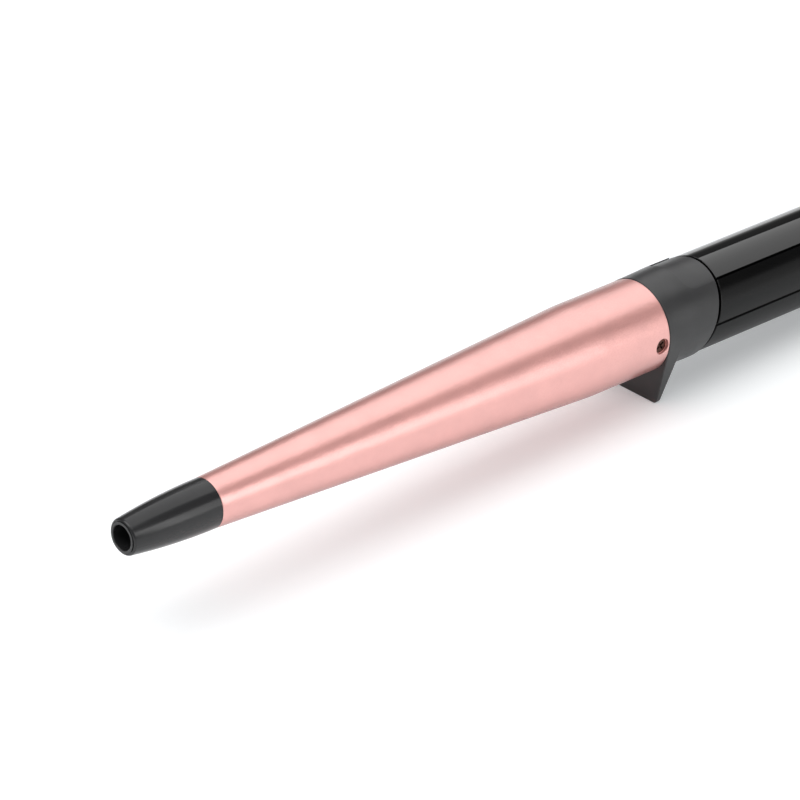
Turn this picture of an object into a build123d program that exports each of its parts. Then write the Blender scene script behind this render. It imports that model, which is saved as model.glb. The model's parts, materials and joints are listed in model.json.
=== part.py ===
from build123d import *
import math
import os

# Clipless conical curling wand, in millimetres.
# The pieces are drawn in the wand's own frame: X runs from the nose to the tail along the axis,
# Z is up and Y goes across. LAY then tips the finished wand so that it lies on its foot and tail.

# Barrel and cool tip
BARREL_THIN_R = 6.5
BARREL_THICK_R = 12.5
BARREL_WALL = 1.2
TIP_LENGTH = 26.0
CONE_LENGTH = 122.5
SLEEVE_LENGTH = 23.2
BEND_BLEND_R = 80.0
END_CHAMFER = 0.15
NOSE_R = 4.75
NOSE_BORE_R = 3.25
NOSE_GROOVE = 0.22
NOSE_EDGE_R = 0.2
NOSE_BORE_DEPTH = 14.0
TIP_SPIGOT_LENGTH = 8.0
SCREW_POCKET_R = 2.75
SCREW_POCKET_DEPTH = 22.0
BARREL_SCREW_Z = -0.45
DIMPLE_R = 2.15
DIMPLE_DEPTH = 1.0
DIMPLE_REACH = 0.7
DIMPLE_WALL = 0.35
DIMPLE_EDGE_R = 0.2
SCREW_SHANK_R = 1.1
SCREW_HEAD_R = 2.0
SCREW_HEAD_H = 0.8

# Collar, its foot and the slanted seam behind it
COLLAR_LENGTH = 16.7
COLLAR_FRONT_R = 12.6
COLLAR_REAR_R = 12.9
COLLAR_BORE_R = 11.3
COLLAR_BEVEL = 0.2
SEAM_SLANT = 19.5
SEAM_GAP = 1.1
SEAM_EDGE_R = 0.3
FOOT_DEPTH = 19.6
FOOT_HALF_WIDTH = 8.8
FOOT_CORNER_R = 1.4
FOOT_ROOT_THICKNESS = 2.95
FOOT_EDGE_THICKNESS = 1.3
FOOT_EDGE_R = 0.3
THUMB_START = 10.2
THUMB_HALF_WIDTH = 8.3
THUMB_CORNER_R = 3.0
THUMB_STEP = 0.33

# Handle and the crowned strip along its top
HANDLE_R = 12.5
HANDLE_WALL = 2.8
HANDLE_LENGTH = 133.6
CROWN_R = 14.0
CREASE_ANGLE = 38.0
PANEL_HALF_WIDTH = 7.58
PANEL_FLOOR_R = 11.0
PANEL_GAP = 0.35
PANEL_BEVEL = 0.25
PANEL_LENGTH = 118.0
PANEL_CORNER_R = 5.0
PARTING_Z = -0.43
PARTING_GAP = 0.75
PARTING_DEPTH = 0.5
TAIL_RING_LENGTH = 5.0
TAIL_EDGE_R = 2.0

# Controls on the strip
KEY_STAND = 0.7
KEY_GAP = 0.25
KEY_TRAVEL = 0.6
KEY_FLANGE = 0.8
KEY_WIDTH = 6.4
RAIL_KEY_LENGTH = 9.0
POWER_KEY_R = 4.0
LIGHT_R = 0.85
LIGHT_PITCH = 4.0
LIGHT_COUNT = 3

# Swivelling cord outlet
CORD_BORE_R = 3.3
CORD_BORE_DEPTH = 9.0
WIRE_BORE_R = 1.9
JOURNAL_R = 7.24
GLAND_BOSS_R = 5.5
GLAND_FLANGE_R = 8.9
GLAND_NOZZLE_LENGTH = 10.0
SLIP_RING_R = 6.6

# Heater pack
CHIP_COUNT = 4
CHIP_LENGTH = 18.0
CHIP_PITCH = 21.5
CHIP_HALF_WIDTH = 4.0
CHIP_THICKNESS = 2.2
ELECTRODE_THICKNESS = 0.5
FILM_THICKNESS = 0.2
FIT = 0.1

# Stations along the axis
BARREL_X = TIP_LENGTH
BEND_X = BARREL_X + CONE_LENGTH
COLLAR_X = BEND_X + SLEEVE_LENGTH
SEAM_X = COLLAR_X + COLLAR_LENGTH
HANDLE_END_X = SEAM_X + HANDLE_LENGTH
TAIL_X = HANDLE_END_X + TAIL_RING_LENGTH
BARREL_END_X = COLLAR_X - FIT
BARREL_SCREW_X = COLLAR_X - 2.65
NECK_X = SEAM_X + 8.6
CAVITY_X = NECK_X + 9.2
FRONT_BOSS_X = CAVITY_X + 3.4
BLOCK_X = CAVITY_X + 6.2
BOARD_X = BLOCK_X + 4.7
PLUS_KEY_X = BOARD_X + 31.0
MINUS_KEY_X = PLUS_KEY_X + 13.0
LIGHTS_X = MINUS_KEY_X + 8.5
POWER_KEY_X = LIGHTS_X + 15.5
BOARD_END_X = BOARD_X + 76.0
REAR_BOSS_X = BOARD_END_X + 4.0
GLAND_X = REAR_BOSS_X + 4.5
RIB_X = HANDLE_END_X - 11.0
POCKET_X = HANDLE_END_X - 8.3
END_WALL_X = HANDLE_END_X - 4.0

# Heights inside the handle
CAVITY_R = HANDLE_R - HANDLE_WALL
FRONT_BOSS_Y = 5.8
BOARD_TOP = 3.2
BOARD_THICKNESS = 1.6
BOARD_HALF_WIDTH = 8.0
SWITCH_TOP = 7.0
KEY_FOOT = SWITCH_TOP + KEY_TRAVEL + 0.15
KEY_FLANGE_TOP = 8.6
LEAD_R = 1.0
SENSOR_Y = 1.6
SENSOR_Z = 5.2
FUSE_Z = -5.4
PACK_X = BARREL_X + 30.0
PACK_END_X = BEND_X - 1.5
DISC_X = BEND_X + 0.5

# Tilt of the wand as it lies on its foot and the tail's lower edge
TAIL_EDGE_X = TAIL_X - TAIL_EDGE_R
TILT = math.degrees(math.atan((FOOT_DEPTH - HANDLE_R) / (TAIL_EDGE_X - COLLAR_X)))

MIDDLE = (Align.CENTER, Align.CENTER, Align.CENTER)
UPWARD = (Align.CENTER, Align.CENTER, Align.MIN)
FORWARD = (Align.MAX, Align.CENTER, Align.CENTER)


def rod(x0, x1, r, y=0.0, z=0.0):
    """A round bar along the wand's axis."""
    return Pos(x0, y, z) * Rot(0, 90, 0) * Cylinder(r, x1 - x0, align=UPWARD)


def post(x, y, z0, z1, r):
    """An upright round bar."""
    return Pos(x, y, z0) * Cylinder(r, z1 - z0, align=UPWARD)


def block(x0, x1, y0, y1, z0, z1):
    """A plain block between two corners."""
    middle = Pos((x0 + x1) / 2, (y0 + y1) / 2, (z0 + z1) / 2)
    return middle * Box(x1 - x0, y1 - y0, z1 - z0, align=MIDDLE)


def turned(*points):
    """A solid turned about the wand's axis from (x, radius) points."""
    return revolve(make_face(Polyline(*points, close=True)), Axis.X)


def barrel_r(x):
    """Outside radius of the barrel at a station."""
    share = min((x - BARREL_X) / CONE_LENGTH, 1.0)
    return BARREL_THIN_R + share * (BARREL_THICK_R - BARREL_THIN_R)


def bore_r(x):
    """Inside radius of the barrel at a station."""
    return barrel_r(x) - BARREL_WALL


def crown_axis(radius):
    """Height of the crown's axis, so that it meets a round body of this radius at the crease."""
    crease = math.radians(CREASE_ANGLE)
    across = radius * math.sin(crease)
    return radius * math.cos(crease) - math.sqrt(CROWN_R**2 - across**2)


def pan_screw(head_r, head_h, shank_r, length):
    """A pan-head cross-recess screw, shank up, with its head below the origin."""
    head = Pos(0, 0, -head_h) * Cylinder(head_r, head_h, align=UPWARD)
    head = fillet(head.edges().group_by(Axis.Z)[0], head_h * 0.4)
    shank = Cylinder(shank_r, length, align=UPWARD)
    slot = Pos(0, 0, -head_h) * Box(head_r * 1.3, head_r * 0.3, head_h * 0.9, align=MIDDLE)
    return head + shank - slot - Rot(0, 0, 90) * slot


# Cool tip


def cool_tip():
    """Ogive tip with a lipped bore in its nose and a spigot that plugs into the barrel."""
    groove_depth = 0.5
    lip_r = NOSE_R - 0.75
    groove_r = lip_r + NOSE_GROOVE
    shoulder_x = groove_depth / 2
    edge_x = 0.9
    middle_x = TIP_LENGTH * 0.5
    middle_r = 6.02
    spigot_r = bore_r(BARREL_X) - FIT
    end_x = BARREL_X + TIP_SPIGOT_LENGTH
    outline = [
        RadiusArc((NOSE_EDGE_R, NOSE_BORE_R), (0, NOSE_BORE_R + NOSE_EDGE_R), NOSE_EDGE_R),
        Line((0, NOSE_BORE_R + NOSE_EDGE_R), (0, lip_r)),
        Polyline((0, lip_r), (groove_depth, lip_r), (groove_depth, groove_r), (shoulder_x, groove_r)),
        RadiusArc((shoulder_x, groove_r), (edge_x, NOSE_R), 0.7),
        ThreePointArc((edge_x, NOSE_R), (middle_x, middle_r), (BARREL_X - FIT, BARREL_THIN_R)),
        Polyline(
            (BARREL_X - FIT, BARREL_THIN_R),
            (BARREL_X - FIT, spigot_r),
            (end_x, spigot_r),
            (end_x, 1.5),
            (SCREW_POCKET_DEPTH, 1.5),
            (SCREW_POCKET_DEPTH, SCREW_POCKET_R),
            (NOSE_BORE_DEPTH, SCREW_POCKET_R),
            (NOSE_BORE_DEPTH, NOSE_BORE_R),
            (NOSE_EDGE_R, NOSE_BORE_R),
        ),
    ]
    return revolve(make_face(outline), Axis.X)


def tip_screw():
    """Long screw at the bottom of the nose bore."""
    screw = pan_screw(SCREW_POCKET_R - 0.2, 1.8, 1.4, 22.0)
    return Pos(SCREW_POCKET_DEPTH, 0, 0) * Rot(0, 90, 0) * screw


def tip_plug():
    """Tapered metal plug in the barrel's thin end that takes the tip screw."""
    x0 = BARREL_X + TIP_SPIGOT_LENGTH + FIT
    x1 = x0 + 12.0
    return turned((x0, 1.45), (x0, bore_r(x0) - FIT), (x1, bore_r(x1) - FIT), (x1, 1.45))


# Barrel and its fixing


def at_screw(side, radius):
    """Place at a barrel screw's axis, looking outwards, at a distance from the wand's axis."""
    return Pos(BARREL_SCREW_X, side * radius, BARREL_SCREW_Z) * Rot(-90 * side, 0, 0)


def barrel():
    """Tapered tube with a straight rear sleeve, blended bend and two pressed dimples for its screws."""
    bore = BARREL_THICK_R - BARREL_WALL
    outline = Polyline(
        (BARREL_X, BARREL_THIN_R),
        (BEND_X, BARREL_THICK_R),
        (BARREL_END_X, BARREL_THICK_R),
        (BARREL_END_X, bore),
        (BEND_X, bore),
        (BARREL_X, BARREL_THIN_R - BARREL_WALL),
        close=True,
    )
    wall = make_face(outline)
    bends = [v for v in wall.vertices() if abs(v.X - BEND_X) < FIT]
    wall = fillet(bends, BEND_BLEND_R)
    ends = [v for v in wall.vertices() if v.X < BARREL_X + FIT or v.X > BARREL_END_X - FIT]
    corners = [v for v in ends if v.Y in (BARREL_THIN_R, BARREL_THICK_R)]
    tube = revolve(chamfer(corners, END_CHAMFER), Axis.X)
    floor_r = BARREL_THICK_R - DIMPLE_DEPTH
    for side in (-1, 1):
        press = Cylinder(DIMPLE_R + DIMPLE_WALL, DIMPLE_REACH + 0.3, align=UPWARD)
        tube += at_screw(side, bore - DIMPLE_REACH) * press
        tube -= at_screw(side, bore - 2) * Cylinder(SCREW_SHANK_R + FIT, 3, align=UPWARD)
        tube -= at_screw(side, floor_r - SCREW_HEAD_H) * screw_cone()
        tube -= at_screw(side, floor_r) * Cylinder(DIMPLE_R, 3, align=UPWARD)
    rims = []
    for edge in tube.edges():
        middle = edge.center(CenterOf.BOUNDING_BOX)
        if abs(middle.X - BARREL_SCREW_X) < FIT and abs(middle.Y) > floor_r + FIT:
            rims.append(edge)
    return fillet(rims, DIMPLE_EDGE_R)


def screw_cone():
    """Underside of a barrel screw's countersunk head."""
    return Cone(SCREW_SHANK_R + FIT, SCREW_HEAD_R, SCREW_HEAD_H, align=UPWARD)


def barrel_screws():
    """Two countersunk cross-head screws through the barrel into its seat."""
    shank = Pos(0, 0, -2.6) * Cylinder(SCREW_SHANK_R, 2.7, align=UPWARD)
    slot = Pos(0, 0, SCREW_HEAD_H) * Box(2.6, 0.55, 0.9, align=MIDDLE)
    screw = screw_cone() + shank - slot - Rot(0, 0, 90) * slot
    seat_r = BARREL_THICK_R - DIMPLE_DEPTH - SCREW_HEAD_H + 0.03
    return Part() + [at_screw(side, seat_r) * Rot(0, 0, 35) * screw for side in (-1, 1)]


def barrel_seat():
    """Insulating spigot for the barrel, slotted for its dimples and clamped by the handle shells."""
    front_x = COLLAR_X - 12.0
    outer_r = COLLAR_BORE_R - FIT
    neck_r = CAVITY_R - 0.2
    groove_r = neck_r - 1.0
    wide_bore_r = 8.4
    neck_bore_r = 7.4
    seat = turned(
        (front_x, wide_bore_r),
        (front_x, outer_r - 0.8),
        (front_x + 0.8, outer_r),
        (NECK_X - FIT, outer_r),
        (NECK_X - FIT, neck_r),
        (NECK_X + 3.0, neck_r),
        (NECK_X + 3.0, groove_r),
        (NECK_X + 6.0, groove_r),
        (NECK_X + 6.0, neck_r),
        (CAVITY_X - 0.2, neck_r),
        (CAVITY_X - 0.2, neck_bore_r),
        (NECK_X - 3.0, neck_bore_r),
        (NECK_X - 4.0, wide_bore_r),
    )
    press_r = DIMPLE_R + DIMPLE_WALL + FIT
    press_y = BARREL_THICK_R - BARREL_WALL - DIMPLE_REACH - FIT
    low, high = BARREL_SCREW_Z - press_r, BARREL_SCREW_Z + press_r
    for side in (-1, 1):
        near, far = sorted((side * press_y, side * 20.0))
        seat -= at_screw(side, press_y) * Cylinder(press_r, 5, align=UPWARD)
        seat -= block(front_x - 1, BARREL_SCREW_X, near, far, low, high)
        seat -= at_screw(side, 5) * Cylinder(SCREW_SHANK_R + FIT / 2, 10, align=UPWARD)
    return seat


# Collar with the foot


def thumb_cutter():
    """Cutter for the shallow thumb recess: crowned like the strip, with round front corners."""
    length = 30.0
    start_x = COLLAR_X + THUMB_START
    half = THUMB_HALF_WIDTH
    floor_z = math.sqrt(COLLAR_REAR_R**2 - half**2) - THUMB_STEP
    axis_z = floor_z - math.sqrt(CROWN_R**2 - half**2)
    plan = Pos(start_x + length / 2, 0) * Rectangle(length, 2 * half)
    corners = [v for v in plan.vertices() if v.X < start_x + 1]
    blank = Pos(0, 0, floor_z - 1) * extrude(fillet(corners, THUMB_CORNER_R), 20)
    return blank - rod(start_x - 5, start_x + length + 5, CROWN_R, z=axis_z)


def foot_face():
    """Front outline of the foot: sides tangent to the collar, rounded toes."""
    reach = math.hypot(FOOT_HALF_WIDTH, FOOT_DEPTH)
    shoulder = math.acos(COLLAR_FRONT_R / reach) - math.atan2(FOOT_DEPTH, FOOT_HALF_WIDTH)
    shoulder_y = COLLAR_FRONT_R * math.cos(shoulder)
    shoulder_z = COLLAR_FRONT_R * math.sin(shoulder)
    outline = Polyline(
        (-shoulder_y, shoulder_z),
        (shoulder_y, shoulder_z),
        (FOOT_HALF_WIDTH, -FOOT_DEPTH),
        (-FOOT_HALF_WIDTH, -FOOT_DEPTH),
        close=True,
    )
    face = make_face(outline)
    toes = [v for v in face.vertices() if v.Y < shoulder_z - 1]
    return fillet(toes, FOOT_CORNER_R)


def foot():
    """Wedge-shaped foot whose rear face leans forward to a thin edge."""
    front_x = COLLAR_X + COLLAR_BEVEL
    lean = (FOOT_ROOT_THICKNESS - FOOT_EDGE_THICKNESS) / (FOOT_DEPTH - COLLAR_FRONT_R)
    root_x = COLLAR_X + FOOT_ROOT_THICKNESS + lean * COLLAR_FRONT_R
    edge_x = COLLAR_X + FOOT_EDGE_THICKNESS
    side = Polyline((front_x, 0), (root_x, 0), (edge_x, -FOOT_DEPTH), (front_x, -FOOT_DEPTH), close=True)
    profile = extrude(Plane.XZ * make_face(side), 20, both=True)
    wedge = extrude(Plane.YZ.offset(front_x) * foot_face(), 10) & profile
    rear_edges = [e for e in wedge.edges() if e.center().X > edge_x - 0.2 and e.center().Z < -5]
    return fillet(rear_edges, FOOT_EDGE_R)


def collar():
    """Sleeve around the seat with a foot, a thumb recess and the slanted rear seam."""
    front_x = COLLAR_X + COLLAR_BEVEL
    rear_x = SEAM_X + 8.0
    sleeve = turned(
        (front_x, 0),
        (front_x, COLLAR_FRONT_R),
        (COLLAR_X + 2.0, COLLAR_FRONT_R),
        (SEAM_X - 6.0, COLLAR_REAR_R),
        (rear_x, COLLAR_REAR_R),
        (rear_x, 0),
    )
    sleeve -= past_seam(0.0)
    rear_edges = [e for e in sleeve.edges() if e.geom_type == GeomType.ELLIPSE]
    sleeve = fillet(rear_edges, SEAM_EDGE_R)
    sleeve -= thumb_cutter()
    outline = Circle(COLLAR_FRONT_R) + foot_face()
    sleeve += extrude(Plane.YZ.offset(front_x) * outline, -COLLAR_BEVEL, taper=45)
    sleeve += foot()
    sleeve -= rod(COLLAR_X - 1, rear_x + 1, COLLAR_BORE_R)
    return sleeve - below_table()


def past_seam(gap):
    """Everything behind the slanted seam."""
    tool = Box(60, 80, 80, align=(Align.MIN, Align.CENTER, Align.CENTER))
    return Pos(SEAM_X + gap, 0, 0) * Rot(0, SEAM_SLANT, 0) * tool


def ahead_of_seam(gap):
    """Everything in front of the slanted seam."""
    tool = Box(60, 80, 80, align=FORWARD)
    return Pos(SEAM_X + gap, 0, 0) * Rot(0, SEAM_SLANT, 0) * tool


def below_table():
    """Everything below the plane that the foot and the tail rest on."""
    slab = Box(400, 80, 20, align=(Align.CENTER, Align.CENTER, Align.MAX))
    return Pos(COLLAR_X, 0, -FOOT_DEPTH) * Rot(0, -TILT, 0) * slab


# Handle


def handle_bar():
    """Outside of the handle: a round bar with the crowned strip along its top."""
    front_x = SEAM_X - 10.0
    bar = rod(front_x, HANDLE_END_X, HANDLE_R)
    bar &= rod(front_x, HANDLE_END_X, CROWN_R, z=crown_axis(HANDLE_R))
    return bar - ahead_of_seam(SEAM_GAP)


def soften_seam(piece):
    """Round the outer edge of a handle piece where it meets the slanted seam."""
    edges = []
    for edge in piece.edges().filter_by(GeomType.ELLIPSE):
        middle = edge @ 0.5
        if math.hypot(middle.Y, middle.Z) > PANEL_FLOOR_R + 1 and edge.length > 5:
            edges.append(edge)
    return fillet(edges, SEAM_EDGE_R)


def strip(half_width, end_x):
    """Upright blank of the top strip, seen from above, with rounded rear corners."""
    length = end_x - SEAM_X + 20.0
    plan = Pos(end_x - length / 2, 0) * Rectangle(length, 2 * half_width)
    corners = [v for v in plan.vertices() if v.X > end_x - 1]
    return extrude(fillet(corners, PANEL_CORNER_R), 20)


def key_plan(kind, grow=0.0):
    """Outline of a key seen from above."""
    if kind == "power":
        return Circle(POWER_KEY_R + grow)
    return SlotOverall(RAIL_KEY_LENGTH + 2 * grow, KEY_WIDTH + 2 * grow)


KEYS = {"plus": PLUS_KEY_X, "minus": MINUS_KEY_X, "power": POWER_KEY_X}
LIGHTS = [LIGHTS_X + i * LIGHT_PITCH for i in range(LIGHT_COUNT)]
BOSSES = [(FRONT_BOSS_X, FRONT_BOSS_Y), (FRONT_BOSS_X, -FRONT_BOSS_Y), (REAR_BOSS_X, 0.0)]


def control_holes():
    """Holes through the strip for the keys and the light windows."""
    holes = [Pos(x, 0, 5) * extrude(key_plan(kind, KEY_GAP), 12) for kind, x in KEYS.items()]
    lights = [post(x, 0, 5, 17, LIGHT_R + FIT) for x in LIGHTS]
    return Part() + holes + lights


def handle_cavity():
    """Hollow of the closed handle, from the seat's pocket to the swivel's bearing."""
    front_x = SEAM_X - 12.0
    return turned(
        (front_x, 0),
        (front_x, COLLAR_BORE_R),
        (NECK_X, COLLAR_BORE_R),
        (NECK_X, CAVITY_R - 0.05),
        (NECK_X + 3.15, CAVITY_R - 0.05),
        (NECK_X + 3.15, CAVITY_R - 1.05),
        (NECK_X + 5.85, CAVITY_R - 1.05),
        (NECK_X + 5.85, CAVITY_R - 0.05),
        (CAVITY_X, CAVITY_R),
        (RIB_X, CAVITY_R),
        (RIB_X, GLAND_BOSS_R + 0.6),
        (POCKET_X, GLAND_BOSS_R + 0.6),
        (POCKET_X, GLAND_FLANGE_R + 0.3),
        (END_WALL_X, GLAND_FLANGE_R + 0.3),
        (END_WALL_X, JOURNAL_R + 0.06),
        (HANDLE_END_X + 1, JOURNAL_R + 0.06),
        (HANDLE_END_X + 1, 0),
    )


def handle_shell():
    """Both halves of the handle in one, before they are parted."""
    rabbet_x = HANDLE_END_X - 3.0
    rabbet = rod(rabbet_x, HANDLE_END_X + 1, HANDLE_R + 2) - rod(rabbet_x - 1, HANDLE_END_X + 2, 11.3)
    return handle_bar() - handle_cavity() - rabbet


def bed_bevel(side):
    """Cutter that breaks the long edge of the strip's bed on one side."""
    edge_y = PANEL_HALF_WIDTH + PANEL_GAP
    edge_z = math.sqrt(HANDLE_R**2 - edge_y**2)
    lean = math.degrees(math.asin(edge_y / HANDLE_R))
    length = PANEL_LENGTH - PANEL_CORNER_R + 20.0
    tool = Pos(0, 0, -PANEL_BEVEL) * Box(length, 1.0, 1.0, align=UPWARD)
    turn = Rot(side * (90 - lean) / 2, 0, 0)
    return Pos(SEAM_X - 20.0 + length / 2, side * edge_y, edge_z) * turn * tool


def handle_upper():
    """Upper half shell with the strip's bed, key holes and screw bosses."""
    bed = strip(PANEL_HALF_WIDTH + PANEL_GAP, SEAM_X + PANEL_LENGTH + PANEL_GAP)
    bed -= rod(SEAM_X - 40, HANDLE_END_X + 40, PANEL_FLOOR_R - 0.05)
    half = handle_shell() & block(SEAM_X - 30, HANDLE_END_X + 2, -20, 20, PARTING_Z, 20)
    half -= bed
    for x, y in BOSSES:
        half += post(x, y, PARTING_Z, 10, 2.6) & rod(x - 5, x + 5, CAVITY_R + 0.2)
        half -= post(x, y, PARTING_Z - 1, 6.4, 1.2)
    return soften_seam(half - control_holes()) - bed_bevel(-1) - bed_bevel(1)


def handle_lower():
    """Lower half shell with a shadow gap at its edge, counterbored bosses and board pillars."""
    half = handle_shell() & block(SEAM_X - 30, HANDLE_END_X + 2, -20, 20, -20, PARTING_Z)
    gap = block(SEAM_X - 20, HANDLE_END_X + 1, -20, 20, PARTING_Z - PARTING_GAP, 1)
    half -= gap - rod(SEAM_X - 21, HANDLE_END_X + 2, HANDLE_R - PARTING_DEPTH)
    inside = rod(CAVITY_X, HANDLE_END_X, CAVITY_R + 0.2)
    for x, y in BOSSES:
        half += post(x, y, -10, PARTING_Z, 3.0) & inside
        half -= post(x, y, -15, -7.4, 2.1)
        half -= post(x, y, -9, 1, 1.25)
    for x in (BOARD_X + 4.0, BOARD_END_X - 10.0):
        for y in (-6.3, 6.3):
            half += post(x, y, -9, BOARD_TOP - BOARD_THICKNESS, 1.5) & inside
    return soften_seam(half)


def handle_screws():
    """Screws from below that hold the two half shells together."""
    return Part() + [Pos(x, y, -7.4) * pan_screw(1.9, 1.6, 1.1, 13.0) for x, y in BOSSES]


def top_panel():
    """Crowned strip let into the top of the handle, with holes for keys and lights."""
    panel = handle_bar() & strip(PANEL_HALF_WIDTH, SEAM_X + PANEL_LENGTH)
    panel -= rod(SEAM_X - 40, HANDLE_END_X, PANEL_FLOOR_R)
    panel -= rod(SEAM_X - 40, NECK_X, COLLAR_BORE_R)
    return soften_seam(panel - control_holes())


def tail_ring():
    """Rounded end ring that sleeves over both half shells."""
    x0 = HANDLE_END_X - 3.0 + FIT
    opening_r = JOURNAL_R + 0.4
    face_r = HANDLE_R - TAIL_EDGE_R
    outline = [
        Line((x0, 11.4), (x0, HANDLE_R)),
        Line((x0, HANDLE_R), (TAIL_EDGE_X, HANDLE_R)),
        RadiusArc((TAIL_EDGE_X, HANDLE_R), (TAIL_X, face_r), TAIL_EDGE_R),
        Polyline(
            (TAIL_X, face_r),
            (TAIL_X, opening_r),
            (HANDLE_END_X + FIT, opening_r),
            (HANDLE_END_X + FIT, 11.4),
            (x0, 11.4),
        ),
    ]
    return revolve(make_face(outline), Axis.X)


# Controls


def key(kind):
    """Push key: crowned cap that stands above the strip, with a flange that keeps it in."""
    cap = Pos(0, 0, KEY_FOOT) * extrude(key_plan(kind), 10)
    crown = rod(-20, 20, CROWN_R + KEY_STAND, z=crown_axis(HANDLE_R))
    cap &= crown
    rim = [e for e in cap.edges() if e.center().Z > HANDLE_R - 1.2 and e.length > 1]
    cap = fillet(rim, 0.4)
    if kind == "power":
        cap -= Pos(0, 0, HANDLE_R + 12.0) * Sphere(11.95)
    flange = Pos(0, 0, KEY_FOOT) * extrude(key_plan(kind, KEY_FLANGE), KEY_FLANGE_TOP - KEY_FOOT)
    flange &= rod(-20, 20, CAVITY_R - 0.15)
    return Pos(KEYS[kind], 0, 0) * (cap + flange)


def light_pipes():
    """Clear windows flush with the strip above the indicator lights."""
    crown = rod(SEAM_X, HANDLE_END_X, CROWN_R, z=crown_axis(HANDLE_R))
    return Part() + [post(x, 0, 7.3, 14, LIGHT_R) & crown for x in LIGHTS]


def indicator_leds():
    """Domed indicator lamps on the board."""
    lamps = []
    for x in LIGHTS:
        lamps.append(post(x, 0, BOARD_TOP, 5.6, 1.5) + Pos(x, 0, 5.6) * Sphere(1.5))
    return Part() + lamps


def tact_switches():
    """Square push switches under the keys."""
    switches = []
    for x in KEYS.values():
        body = block(x - 3, x + 3, -3, 3, BOARD_TOP, SWITCH_TOP - 0.7)
        switches.append(body + post(x, 0, BOARD_TOP, SWITCH_TOP, 1.75))
    return Part() + switches


def control_board():
    """Circuit board on the lower shell's pillars."""
    bottom = BOARD_TOP - BOARD_THICKNESS
    board = block(BOARD_X, BOARD_END_X, -BOARD_HALF_WIDTH, BOARD_HALF_WIDTH, bottom, BOARD_TOP)
    return fillet(board.edges().filter_by(Axis.Z), 1.0)


def terminal_block():
    """Block at the board's front edge that takes the wires from the barrel."""
    return block(BLOCK_X, BOARD_X, -2.7, 2.7, -7.0, 7.0)


def triac():
    """Power switch with its metal tab, under the board."""
    x = BOARD_X + 43.0
    body = block(x, x + 4.5, -5.0, 5.0, -7.0, BOARD_TOP - BOARD_THICKNESS)
    tab = block(x + 4.5, x + 5.8, -4.5, 4.5, -7.0, 0.0)
    return body + tab


def film_capacitor():
    """Mains filter capacitor under the board."""
    x = BOARD_X + 20.0
    body = block(x, x + 13.0, -3.0, 3.0, -7.5, BOARD_TOP - BOARD_THICKNESS)
    return fillet(body.edges().filter_by(Axis.Z), 0.8)


def controller_chip():
    """Small controller with two rows of legs on the board."""
    x = BOARD_X + 12.0
    chip = block(x, x + 8.6, -2.0, 2.0, BOARD_TOP + 0.2, BOARD_TOP + 1.7)
    for i in range(7):
        leg_x = x + 0.5 + i * 1.27
        for side in (-1, 1):
            low, high = sorted((side * 1.8, side * 3.0))
            chip += block(leg_x, leg_x + 0.45, low, high, BOARD_TOP, BOARD_TOP + 0.4)
    return chip


# Heater pack inside the barrel


def heat_shoe(side):
    """Half-round aluminium shoe that fills one side of the cone."""
    flat = CHIP_THICKNESS / 2 + ELECTRODE_THICKNESS + FILM_THICKNESS
    core = turned(
        (PACK_X, 0),
        (PACK_X, bore_r(PACK_X) - 0.15),
        (PACK_END_X, bore_r(PACK_END_X) - 0.15),
        (PACK_END_X, 0),
    )
    low, high = sorted((side * flat, side * 20.0))
    shoe = core & block(PACK_X - 1, PACK_END_X + 1, -20, 20, low, high)
    if side > 0:
        return shoe - rod(PACK_END_X - 12, PACK_END_X + 1, 1.25, SENSOR_Y, SENSOR_Z)
    return shoe - rod(PACK_END_X - 16, PACK_END_X + 1, 2.1, 0, FUSE_Z)


def film(side):
    """Insulating film between an electrode and its shoe."""
    low = CHIP_THICKNESS / 2 + ELECTRODE_THICKNESS
    z0, z1 = sorted((side * low, side * (low + FILM_THICKNESS)))
    return block(PACK_X + 1, PACK_END_X, -5, 5, z0, z1)


def electrode(side):
    """Brass strip over the chips with a tab towards the handle."""
    low = CHIP_THICKNESS / 2
    z0, z1 = sorted((side * low, side * (low + ELECTRODE_THICKNESS)))
    strip_body = block(PACK_X + 3, PACK_END_X, -CHIP_HALF_WIDTH, CHIP_HALF_WIDTH, z0, z1)
    return strip_body + block(PACK_END_X, PACK_END_X + 17, -1.5, 1.5, z0, z1)


def chip_starts():
    """Front ends of the heating chips."""
    return [PACK_X + 4.5 + i * CHIP_PITCH for i in range(CHIP_COUNT)]


def ptc_chips():
    """Self-regulating ceramic heating chips."""
    half = CHIP_THICKNESS / 2
    wide = CHIP_HALF_WIDTH
    return Part() + [block(x, x + CHIP_LENGTH, -wide, wide, -half, half) for x in chip_starts()]


def chip_frame():
    """Ladder frame that spaces the chips."""
    wide = CHIP_HALF_WIDTH + FIT
    frame = block(PACK_X + 2, PACK_END_X - 1, -5.2, 5.2, -1.0, 1.0)
    for x in chip_starts():
        frame -= block(x - FIT, x + CHIP_LENGTH + FIT, -wide, wide, -2, 2)
    return frame


def mica_disc():
    """Heat barrier behind the pack, slotted for the tabs and wires."""
    disc = rod(DISC_X, DISC_X + 1.5, BARREL_THICK_R - BARREL_WALL - FIT)
    disc -= block(DISC_X - 1, DISC_X + 3, -1.8, 1.8, -1.9, 1.9)
    disc -= rod(DISC_X - 1, DISC_X + 3, 1.4, SENSOR_Y, SENSOR_Z)
    return disc - rod(DISC_X - 1, DISC_X + 3, 1.6, 0, FUSE_Z)


def thermistor():
    """Temperature sensor in the upper shoe with its two leads."""
    bead = rod(PACK_END_X - 11, PACK_END_X, 1.1, SENSOR_Y, SENSOR_Z)
    leads = [rod(PACK_END_X - 1, BLOCK_X, 0.35, SENSOR_Y + s * 0.6, SENSOR_Z) for s in (-1, 1)]
    return bead + leads


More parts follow.
